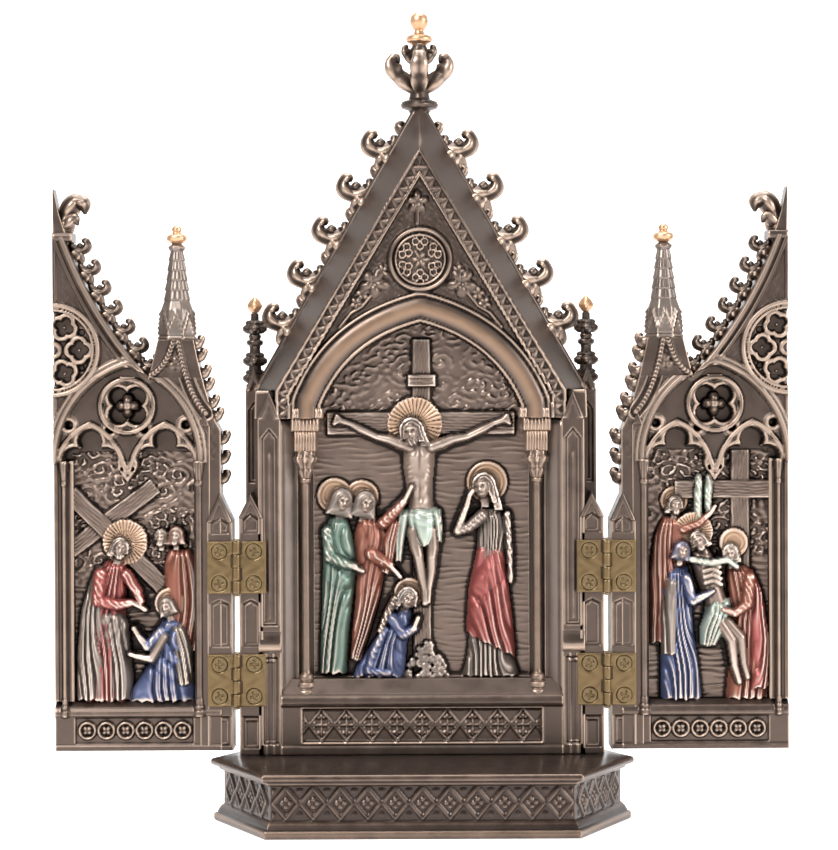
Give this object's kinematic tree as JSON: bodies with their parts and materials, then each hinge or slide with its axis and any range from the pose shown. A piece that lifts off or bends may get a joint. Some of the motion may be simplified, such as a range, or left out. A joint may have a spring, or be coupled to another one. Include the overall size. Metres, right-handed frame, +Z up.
{
  "type": "triptych altarpiece",
  "caption": "Gothic triptych altarpiece in cold-cast bronze: a gabled relief shrine on a hexagonal plinth with hinged half-gable wings.",
  "frame": {"origin": "on the ground under the middle of the plinth", "axes": "+Z up, front towards -Y, +X to the viewer's right"},
  "size_m": [0.2592, 0.084, 0.2865],
  "materials": {
    "bronze": "dark brown resin bronze with rubbed golden edges and thin paint on the figures",
    "plinth_bronze": "dark brown resin bronze with a glossy top",
    "hinge_brass": "aged satin brass",
    "screw_brass": "aged satin brass"
  },
  "bodies": {
    "shrine": {"plinth": "plinth_bronze", "centre_shrine": "bronze", "left_lower_hinge_pin": "hinge_brass", "left_lower_shrine_leaf": "hinge_brass", "left_lower_shrine_screw_bottom": "screw_brass", "left_lower_shrine_screw_top": "screw_brass", "left_upper_hinge_pin": "hinge_brass", "left_upper_shrine_leaf": "hinge_brass", "left_upper_shrine_screw_bottom": "screw_brass", "left_upper_shrine_screw_top": "screw_brass", "right_lower_hinge_pin": "hinge_brass", "right_lower_shrine_leaf": "hinge_brass", "right_lower_shrine_screw_bottom": "screw_brass", "right_lower_shrine_screw_top": "screw_brass", "right_upper_hinge_pin": "hinge_brass", "right_upper_shrine_leaf": "hinge_brass", "right_upper_shrine_screw_bottom": "screw_brass", "right_upper_shrine_screw_top": "screw_brass"},
    "left_wing_body": {"left_wing": "bronze", "left_lower_wing_leaf": "hinge_brass", "left_lower_wing_screw_bottom": "screw_brass", "left_lower_wing_screw_top": "screw_brass", "left_upper_wing_leaf": "hinge_brass", "left_upper_wing_screw_bottom": "screw_brass", "left_upper_wing_screw_top": "screw_brass"},
    "right_wing_body": {"right_wing": "bronze", "right_lower_wing_leaf": "hinge_brass", "right_lower_wing_screw_bottom": "screw_brass", "right_lower_wing_screw_top": "screw_brass", "right_upper_wing_leaf": "hinge_brass", "right_upper_wing_screw_bottom": "screw_brass", "right_upper_wing_screw_top": "screw_brass"}
  },
  "joints": [
    {"name": "left_wing_hinge", "type": "hinge", "parent": "shrine", "child": "left_wing_body", "pos_m": [-0.06525, 0.0024, 0.06865], "axis": [0, 0, 1], "range_deg": [-6, 178]},
    {"name": "right_wing_hinge", "type": "hinge", "parent": "shrine", "child": "right_wing_body", "pos_m": [0.06525, 0.0024, 0.06865], "axis": [0, 0, -1], "range_deg": [-6, 178]}
  ]
}
